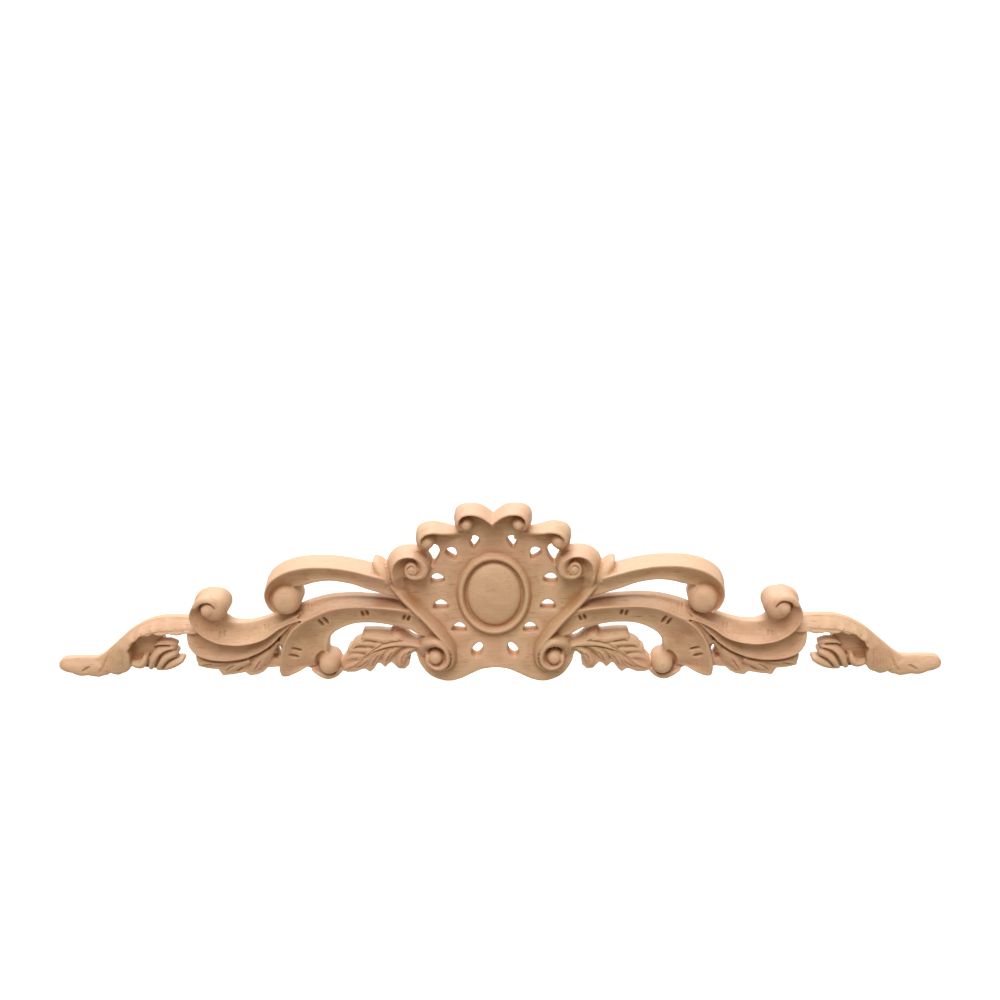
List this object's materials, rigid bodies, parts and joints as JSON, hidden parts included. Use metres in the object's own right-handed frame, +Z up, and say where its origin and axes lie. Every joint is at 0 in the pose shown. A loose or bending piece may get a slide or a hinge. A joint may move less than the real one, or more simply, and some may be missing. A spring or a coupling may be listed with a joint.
{
  "type": "carved wood applique",
  "caption": "Pierced, hand-carved scroll and leaf ornament in bare light hardwood, with an oval medallion, flat behind, for gluing to furniture, a door or a mantel.",
  "frame": {"origin": "on the flat back, behind the centre of the oval medallion", "axes": "+X along the ornament's length to its right end, +Z up to the crest, +Y out of the flat back into the surface it is fixed to"},
  "size_m": [0.4997, 0.0211, 0.1028],
  "materials": {
    "carved_wood": "bare, unfinished light hardwood, fine open pores, no stain or varnish"
  },
  "bodies": {
    "root": {"carved_applique": "carved_wood"}
  },
  "joints": []
}
